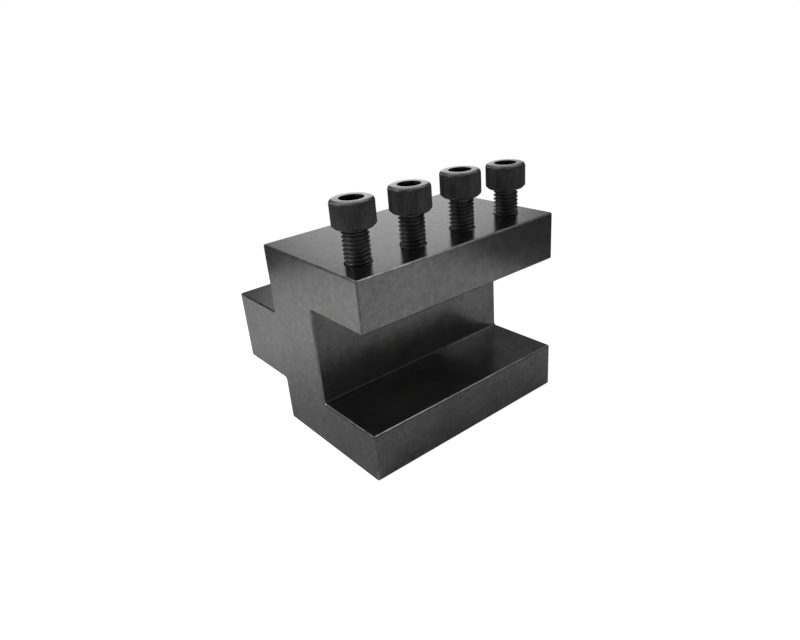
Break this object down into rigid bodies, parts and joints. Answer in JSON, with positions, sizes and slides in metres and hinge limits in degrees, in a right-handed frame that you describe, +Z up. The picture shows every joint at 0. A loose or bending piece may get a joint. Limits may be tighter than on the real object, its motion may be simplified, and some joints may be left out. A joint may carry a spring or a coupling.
{
  "type": "lathe tool holder",
  "caption": "Steel tool holder block with an open tool slot, clamp screws through its top jaw and a square tenon along its back for mounting.",
  "frame": {"origin": "on the plane that the block stands on, in the middle of its overall length and depth", "axes": "+Z up, from the base to the screw heads; +Y from the tool slot's open side to the tenon's back; +X along the block's length"},
  "size_m": [0.08, 0.0764, 0.0835],
  "materials": {
    "block_steel": "ground steel with a black oxide finish, satin",
    "screw_steel": "black oxide, knurled head"
  },
  "bodies": {
    "block": {"tool_block": "block_steel"},
    "screw_1": {"clamp_screw_1": "screw_steel"},
    "screw_2": {"clamp_screw_2": "screw_steel"},
    "screw_3": {"clamp_screw_3": "screw_steel"},
    "screw_4": {"clamp_screw_4": "screw_steel"}
  },
  "joints": [
    {"name": "screw_1_travel", "type": "slide", "parent": "block", "child": "screw_1", "axis": [0, 0, 1], "range_m": [-0.01045, 0.01315]},
    {"name": "screw_2_travel", "type": "slide", "parent": "block", "child": "screw_2", "axis": [0, 0, 1], "range_m": [-0.01005, 0.01355]},
    {"name": "screw_3_travel", "type": "slide", "parent": "block", "child": "screw_3", "axis": [0, 0, 1], "range_m": [-0.01025, 0.01335]},
    {"name": "screw_4_travel", "type": "slide", "parent": "block", "child": "screw_4", "axis": [0, 0, 1], "range_m": [-0.00865, 0.01495]}
  ]
}
